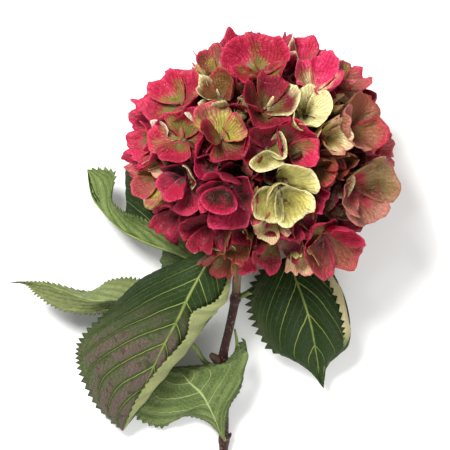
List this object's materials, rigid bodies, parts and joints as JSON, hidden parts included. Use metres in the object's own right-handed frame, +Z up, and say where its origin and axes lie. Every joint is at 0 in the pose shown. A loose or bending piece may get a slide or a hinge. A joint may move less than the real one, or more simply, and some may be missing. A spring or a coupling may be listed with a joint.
{
  "type": "cut hydrangea",
  "caption": "Cut mophead hydrangea lying on its side, a dense round head of crimson and lime florets on a woody stem with large toothed leaves.",
  "frame": {"origin": "on the surface it lies on, under the middle of the flower head", "axes": "+Y from the cut stem end to the top of the head, +Z up from the surface, +X to the right as seen from above"},
  "size_m": [0.2411, 0.2943, 0.1425],
  "materials": {
    "petals": "satin",
    "leaf_upper": "satin",
    "leaf_under": "matte",
    "bark": "satin"
  },
  "bodies": {
    "root": {"stem": "bark", "leaf_front_left": "leaf_upper", "leaf_upper_left": "leaf_under", "leaf_far_left": "leaf_under", "leaf_low": "leaf_under", "leaf_right": "leaf_upper", "flower_head": "petals"}
  },
  "joints": []
}
